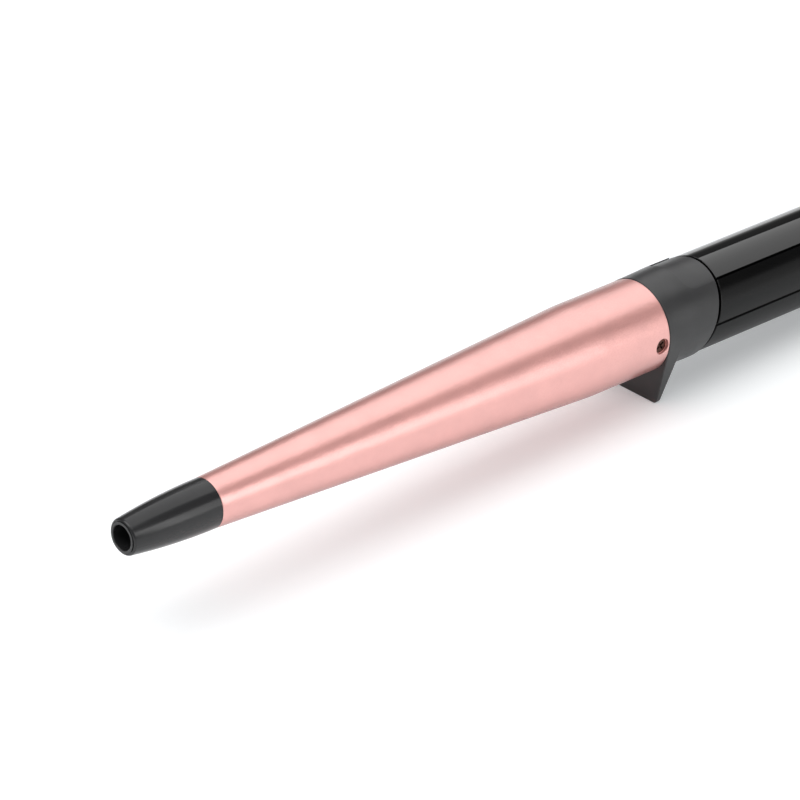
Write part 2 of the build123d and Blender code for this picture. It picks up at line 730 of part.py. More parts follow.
def thermal_fuse():
    """One-shot cut-out in the lower shoe with its two leads."""
    can = rod(PACK_END_X - 15, PACK_END_X, 1.95, 0, FUSE_Z)
    leads = [rod(PACK_END_X - 1, BLOCK_X, 0.4, s * 0.9, FUSE_Z) for s in (-1, 1)]
    return can + leads


def heater_leads():
    """Two insulated wires from the electrode tabs to the terminal block."""
    z = CHIP_THICKNESS / 2 + ELECTRODE_THICKNESS / 2
    return Part() + [rod(PACK_END_X + 17, BLOCK_X, LEAD_R, 0, s * z) for s in (-1, 1)]


# Swivelling cord outlet


def swivel_gland():
    """Turning outlet: contact boss, retaining flange, journal and a grooved nozzle with the cord bore."""
    nozzle_x = TAIL_X + 1.5
    end_x = TAIL_X + GLAND_NOZZLE_LENGTH
    end_r = 5.6
    flange_x = POCKET_X + 0.3
    outline = [
        Polyline(
            (GLAND_X, 0),
            (GLAND_X, GLAND_BOSS_R),
            (flange_x, GLAND_BOSS_R),
            (flange_x, GLAND_FLANGE_R),
            (END_WALL_X - 0.2, GLAND_FLANGE_R),
            (END_WALL_X - 0.2, JOURNAL_R),
            (nozzle_x, JOURNAL_R),
        ),
        RadiusArc((nozzle_x, JOURNAL_R), (nozzle_x + 1.0, JOURNAL_R - 0.9), 1.0),
        Line((nozzle_x + 1.0, JOURNAL_R - 0.9), (end_x - 0.8, end_r)),
        RadiusArc((end_x - 0.8, end_r), (end_x, end_r - 0.8), 0.8),
        Polyline(
            (end_x, end_r - 0.8),
            (end_x, CORD_BORE_R),
            (end_x - CORD_BORE_DEPTH, CORD_BORE_R),
            (end_x - CORD_BORE_DEPTH, WIRE_BORE_R),
            (POCKET_X - 2, WIRE_BORE_R),
            (POCKET_X - 2, 0),
            (GLAND_X, 0),
        ),
    ]
    gland = revolve(make_face(outline), Axis.X)
    for i in range(2):
        x = nozzle_x + 2.8 + i * 2.2
        gland -= rod(x, x + 0.8, 9) - rod(x - 1, x + 2, end_r - 0.4)
    return gland


RING_X = [GLAND_X + 1.5, GLAND_X + 5.5]
RING_WIDTH = 2.5


def slip_rings():
    """Two contact rings on the gland's boss."""
    rings = []
    for x in RING_X:
        inner = GLAND_BOSS_R + 0.05
        end_x = x + RING_WIDTH
        rings.append(turned((x, inner), (x, SLIP_RING_R), (end_x, SLIP_RING_R), (end_x, inner)))
    return Part() + rings


def brush_springs():
    """Two bowed contact strips from the board to the slip rings."""
    strips = []
    rest_y = SLIP_RING_R + 0.8
    touch_y = SLIP_RING_R + 0.3
    for x, side in zip(RING_X, (-1, 1)):
        middle = x + RING_WIDTH / 2
        route = Polyline(
            (BOARD_END_X - 5, side * rest_y),
            (middle - 4, side * rest_y),
            (middle, side * touch_y),
            (middle + 2, side * rest_y),
        )
        ribbon = extrude(Pos(0, 0, -1) * trace(route, 0.3), 2)
        low, high = sorted((side * (rest_y - 0.15), side * (rest_y + 0.15)))
        tab = block(BOARD_END_X - 5, BOARD_END_X - 1, low, high, 0, BOARD_TOP - BOARD_THICKNESS)
        strips.append(ribbon + tab)
    return Part() + strips


def pieces():
    """Every piece of the wand by name, in the wand's own frame."""
    return {
        "cool_tip": cool_tip(),
        "tip_screw": tip_screw(),
        "tip_plug": tip_plug(),
        "barrel": barrel(),
        "barrel_screws": barrel_screws(),
        "barrel_seat": barrel_seat(),
        "collar": collar(),
        "handle_upper": handle_upper(),
        "handle_lower": handle_lower(),
        "handle_screws": handle_screws(),
        "top_panel": top_panel(),
        "tail_ring": tail_ring(),
        "power_button": key("power"),
        "plus_button": key("plus"),
        "minus_button": key("minus"),
        "light_pipes": light_pipes(),
        "indicator_leds": indicator_leds(),
        "tact_switches": tact_switches(),
        "control_board": control_board(),
        "terminal_block": terminal_block(),
        "triac": triac(),
        "film_capacitor": film_capacitor(),
        "controller_chip": controller_chip(),
        "heat_shoe_upper": heat_shoe(1),
        "heat_shoe_lower": heat_shoe(-1),
        "film_upper": film(1),
        "film_lower": film(-1),
        "electrode_upper": electrode(1),
        "electrode_lower": electrode(-1),
        "ptc_chips": ptc_chips(),
        "chip_frame": chip_frame(),
        "mica_disc": mica_disc(),
        "thermistor": thermistor(),
        "thermal_fuse": thermal_fuse(),
        "heater_leads": heater_leads(),
        "swivel_gland": swivel_gland(),
        "slip_rings": slip_rings(),
        "brush_springs": brush_springs(),
    }


def lay_down(parts):
    """Placement that lays the wand on its foot and tail, centred over the origin."""
    tip = Rot(0, TILT, 0)
    nose = (tip * parts["cool_tip"]).bounding_box().min.X
    tail = (tip * parts["swivel_gland"]).bounding_box().max.X
    foot = tip * Pos(COLLAR_X, 0, -FOOT_DEPTH)
    return Pos(-(nose + tail) / 2, 0, -foot.position.Z) * tip


PIECES = pieces()
LAY = lay_down(PIECES)

if __name__ == "__main__":
    os.makedirs("parts", exist_ok=True)
    for name, shape in PIECES.items():
        export_step(LAY * shape, f"parts/{name}.step")
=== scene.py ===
"""Dresses a conical curling wand: its finishes, its fine parts, the studio and the camera.

Lengths are in metres. Shapes are drawn in the wand's own frame: X runs from the nose to the tail
along the axis, Y goes across and Z is up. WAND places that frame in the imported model's frame.
"""

import json
import math

import bmesh
import bpy
from bpy.props import FloatProperty, FloatVectorProperty, PointerProperty
from mathutils import Matrix, Vector


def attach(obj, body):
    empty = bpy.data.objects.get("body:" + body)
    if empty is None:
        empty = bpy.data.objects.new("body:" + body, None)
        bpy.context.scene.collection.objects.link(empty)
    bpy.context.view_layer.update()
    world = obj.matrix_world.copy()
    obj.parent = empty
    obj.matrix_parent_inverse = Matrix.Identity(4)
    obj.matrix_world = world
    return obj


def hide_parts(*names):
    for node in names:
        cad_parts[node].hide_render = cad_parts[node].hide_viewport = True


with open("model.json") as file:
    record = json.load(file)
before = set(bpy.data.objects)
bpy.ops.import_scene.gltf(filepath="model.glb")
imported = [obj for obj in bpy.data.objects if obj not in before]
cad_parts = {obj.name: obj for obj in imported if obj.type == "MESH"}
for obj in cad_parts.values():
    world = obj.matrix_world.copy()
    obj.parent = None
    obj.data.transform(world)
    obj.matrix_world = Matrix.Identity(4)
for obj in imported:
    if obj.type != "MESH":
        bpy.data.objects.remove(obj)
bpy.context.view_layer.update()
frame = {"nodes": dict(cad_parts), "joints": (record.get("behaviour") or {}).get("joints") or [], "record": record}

bl_info = {
    "name": "Curling Wand",
    "version": (1, 0, 0),
    "blender": (4, 5, 0),
    "location": "View3D > Sidebar > Wand",
    "description": "Finishes, fine parts and studio of a conical curling wand",
    "category": "Object",
}

MM = 0.001
NODES = frame["nodes"]
RECORD_COLOURS = {m["slot"]: tuple(m["base_color"][:3]) for m in frame["record"]["materials"]}

# The wand's own frame


def wand_matrix():
    """Placement of the wand's own frame, whose origin is the middle of the nose."""
    swivel = next(j for j in frame["joints"] if j["name"] == "cord_swivel")
    axis = Vector(swivel["axis"]).normalized()
    across = Vector((0.0, 1.0, 0.0))
    pivot = Vector(swivel["pos_m"])
    nose = min((v.co - pivot).dot(axis) for v in NODES["cool_tip"].data.vertices)
    matrix = Matrix((axis, across, axis.cross(across))).transposed().to_4x4()
    matrix.translation = pivot + nose * axis
    return matrix


WAND = wand_matrix()
UNWAND = WAND.inverted()


def extent(node):
    """Lowest and highest corner of a CAD node in the wand's own frame."""
    points = [UNWAND @ v.co for v in NODES[node].data.vertices]
    low = Vector([min(p[i] for p in points) for i in range(3)])
    high = Vector([max(p[i] for p in points) for i in range(3)])
    return low, high


def middle(node):
    """Middle of a CAD node's box in the wand's own frame."""
    low, high = extent(node)
    return (low + high) / 2


# Sizes, colours and light that a user would change


def length(name, default, description):
    """A length property, given in millimetres."""
    default *= MM
    return FloatProperty(name=name, description=description, default=default, min=0.0, unit="LENGTH")


def angle(name, default, description):
    """An angle property, given in degrees."""
    return FloatProperty(name=name, description=description, default=math.radians(default), subtype="ANGLE")


def level(name, default, description):
    """A brightness property, where 1 is white."""
    return FloatProperty(name=name, description=description, default=default, min=0.0)


def colour(name, default, description):
    """A colour property."""
    return FloatVectorProperty(
        name=name, description=description, default=default, size=3, min=0.0, max=1.0, subtype="COLOR"
    )


class WandSizes(bpy.types.PropertyGroup):
    """Sizes of the fine parts."""

    barrel_wall: length("Barrel wall", 1.2, "Thickness of the barrel's tube")
    barrel_lip: length("Barrel lip", 0.15, "Radius of the rounded lips at the barrel's ends")
    sleeve_length: length("Sleeve", 23.1, "Straight part behind the cone")
    bend_blend: length("Bend blend", 2.0, "Half length of the blend between cone and sleeve")
    hole_radius: length("Hole radius", 2.15, "Radius of the hole over a barrel screw")
    hole_edge: length("Hole edge", 0.2, "Rounding of the hole's edge")
    hole_depth: length("Hole depth", 1.0, "Depth of the hole down to the screw's head")
    seat_radius: length("Seat radius", 2.0, "Radius at the top of the screw's seat")
    seat_depth: length("Seat depth", 0.8, "Depth of the screw's seat")
    shank_radius: length("Shank radius", 1.2, "Radius of the hole for the screw's shank")
    press_radius: length("Press radius", 2.05, "Radius of the pressed dimple inside the barrel")
    press_reach: length("Press reach", 0.7, "How far the dimple reaches into the bore")
    sign_reach: length("Sign reach", 1.25, "Half length of the plus and minus signs")
    sign_width: length("Sign width", 0.5, "Line width of the signs on the keys")
    sign_ring: length("Ring radius", 1.5, "Radius of the ring in the power sign")
    sign_rise: length("Sign rise", 0.03, "How far a printed sign stands proud of its key")


class WandColours(bpy.types.PropertyGroup):
    """Colours of the outer finishes."""

    barrel: colour("Barrel", (0.87, 0.425, 0.39), "Rose-gold coat of the barrel")
    tip: colour("Tip", (0.021, 0.021, 0.022), "Cool tip")
    collar: colour("Collar", (0.038, 0.038, 0.039), "Collar and foot")
    handle: colour("Handle", (0.0015, 0.0015, 0.0016), "Upper handle shell and strip")
    lower: colour("Lower shell", (0.01, 0.01, 0.0102), "Lower handle shell")
    keys: colour("Keys", (0.02, 0.02, 0.021), "Push keys")
    signs: colour("Signs", (0.5, 0.5, 0.5), "Printed signs on the keys")
    floor: colour("Floor", (0.82, 0.83, 0.835), "Table and backdrop")


class WandStudio(bpy.types.PropertyGroup):
    """Camera and lamps."""

    lens: FloatProperty(name="Lens", description="Focal length in millimetres", default=202.5, min=1.0)
    azimuth: angle("Azimuth", 42.457, "Turn of the view towards the tail")
    elevation: angle("Elevation", 30.097, "Angle of the view above the table")
    roll: angle("Roll", 0.286, "Turn of the picture about the view")
    distance: length("Distance", 1073.69, "From the camera to the barrel's front end, along the view")
    shift_left: length("Left", 46.33, "How far left of the view's middle the barrel's front end lies")
    shift_down: length("Down", 24.59, "How far below the view's middle the barrel's front end lies")
    top_light: level("Top light", 1.33, "Brightness of the two large softboxes overhead")
    front_light: level("Front light", 1.95, "Brightness of the low softbox beside the barrel")
    low_light: level("Low light", 3.4, "Brightness of the low softbox beside the tip")
    side_light: level("Side light", 0.55, "Brightness of the low softbox beside the handle")
    fill_light: level("Fill light", 1.5, "Brightness of the fill overhead")
    tip_light: level("Tip light", 2.6, "Brightness of the small softbox beyond the tip")
    camera_light: level("Camera light", 1.5, "Brightness of the fill by the camera")
    ambient: level("Ambient", 0.13, "Brightness of the dim ceiling")
    floor_glow: level("Floor glow", 0.27, "White added to the table as it is seen")


# Materials

BLACK = (0.0, 0.0, 0.0, 1.0)
GLOW_COLOUR = (0.97, 1.0, 1.02, 1.0)
# Range that most noise values keep to
NOISE_LOW, NOISE_HIGH = 0.3, 0.7
# Cosine between rounded and true normal where an edge is fully lightened, as wear and as painted highlight, and
# where it is sound
EDGE_WORN_AND_LIT, EDGE_SOUND = 0.85, 0.99
EDGE_SAMPLES = 4
# Places of the share, the two colours and the result on a mix node
MIX_SHARE, MIX_FIRST, MIX_SECOND, MIX_RESULT = 0, 6, 7, 2


def shade(base, lightness):
    """A base colour made lighter or darker, as the nodes take it."""
    return (*(min(c * lightness, 1.0) for c in base), 1.0)


class Finish:
    """A node material whose colour, roughness and surface vary over the piece."""

    def __init__(self, name, roughness=0.5, metallic=0.0, **constants):
        self.material = bpy.data.materials.new(name)
        self.material.use_nodes = True
        self.tree = self.material.node_tree
        self.shader = self.tree.nodes["Principled BSDF"]
        self.place = self.tree.nodes.new("ShaderNodeTexCoord").outputs["Object"]
        self.set("Roughness", roughness)
        self.set("Metallic", metallic)
        for socket, value in constants.items():
            self.set(socket.replace("_", " ").title().replace("Ior", "IOR"), value)

    def feed(self, value, socket):
        """Link a value to a socket, or fix it there."""
        if isinstance(value, bpy.types.NodeSocket):
            self.tree.links.new(value, socket)
        else:
            socket.default_value = value

    def set(self, socket, value):
        """Fix or link one of the shader's sockets."""
        self.feed(value, self.shader.inputs[socket])

    def node(self, kind, settings=None, **inputs):
        """Add a node with some settings and inputs."""
        made = self.tree.nodes.new(kind)
        for key, value in (settings or {}).items():
            setattr(made, key, value)
        for key, value in inputs.items():
            self.feed(value, made.inputs[key.replace("_", " ")])
        return made

    def numbers(self, operation, first, second):
        """Combine two numbers."""
        made = self.node("ShaderNodeMath", {"operation": operation})
        self.feed(first, made.inputs[0])
        self.feed(second, made.inputs[1])
        return made.outputs["Value"]

    def vectors(self, operation, *values, **inputs):
        """Outputs of a node that combines vectors."""
        made = self.node("ShaderNodeVectorMath", {"operation": operation}, **inputs)
        for value, socket in zip(values, made.inputs):
            self.feed(value, socket)
        return made.outputs

    def noise(self, cell, detail=2.0):
        """Soft noise with cells of a given size."""
        inputs = {"Vector": self.place, "Scale": 1.0 / cell, "Detail": detail}
        return self.node("ShaderNodeTexNoise", **inputs).outputs["Fac"]

    def streaks(self, along, across, detail):
        """Soft noise with cells that are long and narrow along the wand."""
        scale = (1.0 / along, 1.0 / across, 1.0 / across)
        place = self.node("ShaderNodeMapping", Vector=self.place, Scale=scale).outputs["Vector"]
        return self.node("ShaderNodeTexNoise", Vector=place, Scale=1.0, Detail=detail).outputs["Fac"]

    def spread(self, value, low, high, start=NOISE_LOW, end=NOISE_HIGH):
        """Map a value onto a range."""
        inputs = {"Value": value, "From_Min": start, "From_Max": end, "To_Min": low, "To_Max": high}
        return self.node("ShaderNodeMapRange", **inputs).outputs["Result"]

    def blend(self, share, first, second):
        """Mix two colours."""
        mix = self.node("ShaderNodeMix", {"data_type": "RGBA"})
        for index, value in ((MIX_SHARE, share), (MIX_FIRST, first), (MIX_SECOND, second)):
            self.feed(value, mix.inputs[index])
        return mix.outputs[MIX_RESULT]

    def tint(self, base, vary, cell, detail=3.0):
        """Vary the base colour a little, and return it."""
        share = self.spread(self.noise(cell, detail), 0.0, 1.0)
        made = self.blend(share, shade(base, 1.0 - vary), shade(base, 1.0 + vary))
        self.set("Base Color", made)
        return made

    def roughen(self, noise, roughness, vary):
        """Vary the roughness evenly about a value."""
        self.set("Roughness", self.spread(noise, roughness - vary, roughness + vary))

    def bump(self, value, height):
        """Raise the surface by a noise value."""
        return self.node("ShaderNodeBump", Height=value, Strength=1.0, Distance=height).outputs["Normal"]

    def edges(self, radius):
        """Share that is high along edges, where a finish rubs thin and where a painted highlight is laid."""
        rounded = self.node("ShaderNodeBevel", {"samples": EDGE_SAMPLES}, Radius=radius).outputs["Normal"]
        facing = self.node("ShaderNodeNewGeometry").outputs["Normal"]
        cosine = self.vectors("DOT_PRODUCT", rounded, facing)["Value"]
        return self.spread(cosine, 1.0, 0.0, EDGE_WORN_AND_LIT, EDGE_SOUND)

    def flakes(self, cell, lean):
        """Normals that lean at random from one flake to the next."""
        cells = self.node("ShaderNodeTexVoronoi", Vector=self.place, Scale=1.0 / cell).outputs["Color"]
        centred = self.vectors("SUBTRACT", cells, (0.5, 0.5, 0.5))["Vector"]
        tilt = self.vectors("SCALE", centred, Scale=lean)["Vector"]
        facing = self.node("ShaderNodeNewGeometry").outputs["Normal"]
        leaning = self.vectors("ADD", facing, tilt)["Vector"]
        return self.vectors("NORMALIZE", leaning)["Vector"]


def rose_gold(base):
    """Metallic rose coat with fine flakes under a satin clear layer."""
    finish = Finish("rose_gold", metallic=0.6, coat_weight=0.8, coat_roughness=0.25, coat_ior=2.0)
    finish.set("Specular Tint", BLACK)
    finish.tint(base, vary=0.04, cell=9 * MM)
    finish.set("Roughness", finish.spread(finish.noise(4 * MM), low=0.33, high=0.38))
    finish.set("Normal", finish.flakes(cell=0.28 * MM, lean=0.12))
    return finish.material


def satin_plastic(name, base, roughness, specular=0.5, relief=0.006 * MM):
    """Moulded plastic with a fine spark-eroded grain, and edges painted lighter as rubbed wear and as a painted
    edge highlight.
    """
    finish = Finish(name, specular_ior_level=specular)
    worn_and_lit = finish.edges(radius=0.25 * MM)
    body = finish.tint(base, vary=0.08, cell=5 * MM)
    # Edges are lightened both as rubbed wear and as a painted edge highlight.
    finish.set("Base Color", finish.blend(worn_and_lit, body, shade(base, lightness=1.5)))
    finish.roughen(finish.noise(7 * MM), roughness, vary=0.04)
    finish.set("Normal", finish.bump(finish.noise(0.2 * MM, detail=1.0), relief))
    return finish.material


def gloss_plastic(name, base, roughness, specular):
    """Polished black moulding with a trace of orange peel and faint handling marks."""
    finish = Finish(name, specular_ior_level=specular)
    finish.tint(base, vary=0.1, cell=12 * MM)
    marks = finish.streaks(along=30 * MM, across=8 * MM, detail=3.0)
    handled = finish.spread(marks, low=roughness, high=roughness + 0.05, start=0.45, end=0.75)
    finish.set("Roughness", handled)
    finish.set("Normal", finish.bump(finish.noise(2.5 * MM, detail=0.0), height=0.0015 * MM))
    return finish.material


def worked_metal(name, base, roughness):
    """Metal with fine tool marks along the wand."""
    finish = Finish(name, metallic=1.0)
    finish.tint(base, vary=0.08, cell=3 * MM)
    marks = finish.streaks(along=6 * MM, across=0.12 * MM, detail=2.0)
    finish.roughen(marks, roughness, vary=0.08)
    finish.set("Normal", finish.bump(marks, height=0.004 * MM))
    return finish.material


def plain_insulator(name, base, roughness):
    """Ceramic, mica, film or lacquer: mottled and slightly uneven."""
    cell = 1.2 * MM
    finish = Finish(name)
    finish.tint(base, vary=0.15, cell=cell, detail=4.0)
    finish.roughen(finish.noise(cell), roughness, vary=0.06)
    finish.set("Normal", finish.bump(finish.noise(cell / 3), height=0.01 * MM))
    return finish.material


def clear_plastic(name, base):
    """Clear moulding with a light frost."""
    finish = Finish(name, transmission_weight=0.85, ior=1.49)
    finish.tint(base, vary=0.03, cell=1 * MM)
    finish.set("Roughness", finish.spread(finish.noise(0.4 * MM), low=0.2, high=0.32))
    return finish.material


def printed_sign(name, base):
    """Pad-printed ink."""
    finish = Finish(name)
    finish.tint(base, vary=0.06, cell=0.3 * MM)
    finish.set("Roughness", finish.spread(finish.noise(0.2 * MM), low=0.45, high=0.6))
    finish.set("Normal", finish.bump(finish.noise(0.1 * MM), height=0.002 * MM))
    return finish.material


def table_white(base, glow_share, lit_reach, white_reach):
    """Matt white table that is seen as an even white surround away from the wand."""
    finish = Finish("table_white", roughness=1.0, specular_ior_level=0.0)
    finish.tint(base, vary=0.004, cell=0.2)
    rays = finish.node("ShaderNodeLightPath").outputs
    direct = finish.numbers("MAXIMUM", rays["Is Camera Ray"], rays["Is Glossy Ray"])
    seen = finish.numbers("MAXIMUM", direct, rays["Is Transmission Ray"])
    finish.set("Emission Color", GLOW_COLOUR)
    finish.set("Emission Strength", finish.spread(seen, 0.0, glow_share, start=0.0, end=1.0))
    away = finish.vectors("LENGTH", finish.place)["Value"]
    share = finish.numbers("MULTIPLY", finish.spread(away, 0.0, 1.0, lit_reach, white_reach), seen)
    glow = finish.node("ShaderNodeEmission").outputs["Emission"]
    mixed = finish.node("ShaderNodeMixShader", Fac=share)
    finish.feed(finish.shader.outputs["BSDF"], mixed.inputs[1])
    finish.feed(glow, mixed.inputs[2])
    finish.feed(mixed.outputs["Shader"], finish.tree.nodes["Material Output"].inputs["Surface"])
    return finish.material


def paint(finish, *nodes):
    """Give CAD nodes a finish."""
    for node in nodes:
        data = NODES[node].data
        data.materials.clear()
        data.materials.append(finish)


# Meshes


def dress_mesh(mesh, name, body, finish, crease, replaced=()):
    """Turn a finished mesh into a piece that rides on a CAD body."""
    shape = bmesh.new()
    shape.from_mesh(mesh)
    bmesh.ops.recalc_face_normals(shape, faces=shape.faces)
    shape.to_mesh(mesh)
    shape.free()
    mesh.shade_smooth()
    mesh.set_sharp_from_angle(angle=crease)
    mesh.materials.append(finish)
    piece = bpy.data.objects.new(name, mesh)
    bpy.context.scene.collection.objects.link(piece)
    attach(piece, body)
    if replaced:
        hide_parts(*replaced)


def steps(start, end, step):
    """Even stations from start up to, but without, end."""
    count = max(1, round((end - start) / step))
    return [start + (end - start) * i / count for i in range(count)]


def quarter_turn(count):
    """Angles that part a quarter turn evenly, with both its ends."""
    return [math.radians(90.0 * i / count) for i in range(count + 1)]


def ring_faces(rows, columns, closed):
    """Quads between rings of points, and from the last ring to the first if closed."""
    faces = []
    for row in range(rows if closed else rows - 1):
        near, far = row * columns, (row + 1) % rows * columns
        for column in range(columns):
            beside = (column + 1) % columns
            faces.append((near + column, near + beside, far + beside, far + column))
    return faces


def loop_faces(loop, ring):
    """Quads between two loops of the same number of points."""
    return [(loop[i - 1], loop[i], ring[i], ring[i - 1]) for i in range(len(loop))]


# Barrel

BARREL_CREASE = math.radians(50.0)
LIP_STEPS = 4
HOLE_EDGE_STEPS = 4
# Steps along and round the barrel, where a window is the patch round a screw
CONE_STEP = 3 * MM
BEND_STEP = 0.4 * MM
SLEEVE_STEP = 1.5 * MM
WINDOW_STEP = 0.3 * MM
TURN_STEP = math.radians(2.0)
WINDOW_TURN_STEP = math.radians(1.3)


def barrel_radius(station, thin, thick, front, bend, blend):
    """Outside radius of the barrel, with the bend rounded off."""
    slope = (thick - thin) / (bend - front)
    if station < bend - blend:
        return thick - slope * (bend - station)
    if station > bend + blend:
        return thick
    return thick - slope * (bend + blend - station) ** 2 / (4 * blend)


def barrel_outline(sizes):
    """(station, radius) rows along the outside and back along the bore, and the windows' stations."""
    low, high = extent("barrel")
    front, rear, thick = low.x, high.x, high.y
    thin = extent("cool_tip")[1].y
    bend, blend = rear - sizes.sleeve_length, sizes.bend_blend
    lip = sizes.barrel_lip
    reach = rear - lip - middle("barrel_screws").x
    window = steps(rear - lip - 2 * reach, rear - lip, WINDOW_STEP) + [rear - lip]

    def outside(station):
        return barrel_radius(station, thin, thick, front, bend, blend)

    rows = []
    for turn in quarter_turn(LIP_STEPS)[:-1]:
        rows.append((front + lip * (1 - math.cos(turn)), outside(front + lip) - lip * (1 - math.sin(turn))))
    stations = steps(front + lip, bend - blend, CONE_STEP)
    stations += steps(bend - blend, bend + blend, BEND_STEP)
    stations += steps(bend + blend, window[0], SLEEVE_STEP) + window
    rows += [(station, outside(station)) for station in stations]
    for turn in quarter_turn(LIP_STEPS)[1:]:
        rows.append((rear - lip * (1 - math.sin(turn)), thick - lip * (1 - math.cos(turn))))
    bore = [rear, *reversed(window), bend, front]
    rows += [(station, outside(station) - sizes.barrel_wall) for station in bore]
    return rows, window


def barrel_turns(reach, height, radius):
    """Angles round the barrel, and for each side the first and last column of its window."""
    above = math.acos((height + reach) / radius)
    below = math.acos((height - reach) / radius)
    full = 2 * math.pi
    turns, columns = steps(0.0, above, TURN_STEP), []
    for start, end, rest in ((above, below, full - below), (full - below, full - above, full)):
        first = len(turns)
        turns += steps(start, end, WINDOW_TURN_STEP)
        columns.append((first, len(turns)))
        turns += steps(end, rest, TURN_STEP)
    return turns, columns


def window_loop(first_row, last_row, first, last):
    """Cells' corners once round a window of the grid, as (row, column) pairs."""
    step = 1 if last_row > first_row else -1
    rows = range(first_row, last_row, step)
    loop = [(row, first) for row in rows] + [(last_row, column) for column in range(first, last)]
    loop += [(row + step, last) for row in reversed(rows)]
    return loop + [(first_row, column) for column in range(last, first, -1)]


def hole_profile(sizes, thick):
    """(radius, depth, on) rows down a screw hole, where on is the cylinder that the depth is taken from."""
    edge, radius = sizes.hole_edge, sizes.hole_radius
    bore = thick - sizes.barrel_wall
    floor = thick - sizes.hole_depth
    inner = bore - sizes.press_reach
    rows = [(radius + edge, 0.0, thick)]
    for turn in quarter_turn(HOLE_EDGE_STEPS)[1:]:
        rows.append((radius + edge * (1 - math.sin(turn)), edge * (1 - math.cos(turn)), thick))
    rows += [(radius, -floor, 0.0), (sizes.seat_radius, -floor, 0.0)]
    rows += [(sizes.shank_radius, sizes.seat_depth - floor, 0.0), (sizes.shank_radius, -inner, 0.0)]
    return rows + [(sizes.press_radius, -inner, 0.0), (sizes.press_radius, 0.0, bore)]


def line_hole(points, faces, outer, inner, side, sizes, thick):
    """Join two loops of points, on the outside and in the bore, by the wall of a screw hole."""
    screw = middle("barrel_screws")
    loop = outer
    for radius, depth, on in hole_profile(sizes, thick):
        ring = []
        for index in outer:
            turn = math.atan2(points[index][2] - screw.z, points[index][0] - screw.x)
            height = screw.z + radius * math.sin(turn)
            away = math.sqrt(on * on - height * height) if on else 0.0
            ring.append(len(points))
            points.append((screw.x + radius * math.cos(turn), side * (away - depth), height))
        faces.extend(loop_faces(loop, ring))
        loop = ring
    faces.extend(loop_faces(loop, inner))


def make_barrel(sizes, finish):
    """Tube with rounded lips and a round-edged hole over each screw."""
    rows, window = barrel_outline(sizes)
    screw, thick = middle("barrel_screws"), extent("barrel")[1].y
    turns, columns = barrel_turns(window[-1] - screw.x, screw.z, thick)
    points = [(x, r * math.sin(turn), r * math.cos(turn)) for x, r in rows for turn in turns]
    span, wide = len(window) - 1, len(turns)
    outer = [station for station, _ in rows].index(window[0])
    # Only the bend and the front follow the windows' rows in the bore
    bore = len(rows) - 3
    faces = []
    for index, cell in enumerate(ring_faces(len(rows), wide, True)):
        row, column = divmod(index, wide)
        beside = any(first <= column < last for first, last in columns)
        if not (beside and (outer <= row < outer + span or bore - span <= row < bore)):
            faces.append(cell)
    for side, (first, last) in zip((1, -1), columns):
        loops = []
        for start, end in ((outer, outer + span), (bore, bore - span)):
            loops.append([row * wide + column for row, column in window_loop(start, end, first, last)])
        line_hole(points, faces, *loops, side, sizes, thick)
    mesh = bpy.data.meshes.new("barrel_skin")
    mesh.from_pydata([WAND @ Vector(p) for p in points], [], faces)
    dress_mesh(mesh, "barrel_skin", "wand", finish, BARREL_CREASE, ("barrel",))


# Signs on the keys

SIGN_CREASE = math.radians(30.0)
ARM_END_STEPS = 6
RING_STEPS = 36
# Half of the opening in the power sign's ring
RING_GAP = math.radians(35.0)
# The power sign's stroke: its half length by that of the other signs, and its middle by the ring's radius
STROKE_REACH = 0.6
STROKE_PLACE = 0.7
# Height over a key from which its crown is looked for
LOOK_HEIGHT = 2 * MM
# Thickness of the ink by its rise, so that it also reaches into the key
INK_DEPTH = 3


def arms_outline(arms, reach, width):
    """Outline of a sign with a number of round-ended arms, evenly about its middle."""
    half = width / 2
    points = []
    for arm in range(arms):
        turn = Matrix.Rotation(2 * math.pi * arm / arms, 2)
        for i in range(ARM_END_STEPS + 1):
            sweep = math.pi * (i / ARM_END_STEPS - 0.5)
            points.append(turn @ Vector((reach - half + half * math.cos(sweep), half * math.sin(sweep))))
        if arms > 2:
            points.append(turn @ Vector((half, half)))
    return points


def ring_outline(radius, width):
    """Outline of a ring that is open on one side."""
    closed = 2 * math.pi - 2 * RING_GAP
    turns = [RING_GAP + closed * i / RING_STEPS for i in range(RING_STEPS + 1)]
    outer = [Vector((math.cos(turn), math.sin(turn))) * (radius + width / 2) for turn in turns]
    inner = [Vector((math.cos(turn), math.sin(turn))) * (radius - width / 2) for turn in reversed(turns)]
    return outer + inner


def stroke_outline(reach, width, ring):
    """Outline of the stroke in the power sign's opening."""
    place = Vector((ring * STROKE_PLACE, 0))
    return [point + place for point in arms_outline(2, reach * STROKE_REACH, width)]


def lay_sign(name, key, body, outlines, rise, finish):
    """Print a sign on top of a key, following the key's crown."""
    ink = bmesh.new()
    centre = middle(key)
    for outline in outlines:
        face = ink.faces.new([ink.verts.new((centre.x + p.x, p.y, 0.0)) for p in outline])
        face.normal_update()
    bmesh.ops.triangulate(ink, faces=ink.faces)
    bmesh.ops.subdivide_edges(ink, edges=ink.edges, cuts=1)
    down = (WAND.to_3x3() @ Vector((0, 0, -1))).normalized()
    above = extent(key)[1].z + LOOK_HEIGHT
    for vert in ink.verts:
        start = WAND @ Vector((vert.co.x, vert.co.y, above))
        found, place, _, _ = NODES[key].ray_cast(start, down)
        if not found:
            raise RuntimeError(f"{name} does not lie on {key}")
        vert.co = place - down * rise
    skirt = bmesh.ops.extrude_face_region(ink, geom=ink.faces)
    for vert in skirt["geom"]:
        if isinstance(vert, bmesh.types.BMVert):
            vert.co += down * INK_DEPTH * rise
    mesh = bpy.data.meshes.new(name)
    ink.to_mesh(mesh)
    ink.free()
    dress_mesh(mesh, name, body, finish, SIGN_CREASE)


# Studio

TABLE_REACH = 3.0
TABLE_RINGS = 8
TABLE_COLUMNS = 96
# Where the table starts to turn into the white surround, and where it has turned
LIT_REACH = 0.55
WHITE_REACH = 1.3
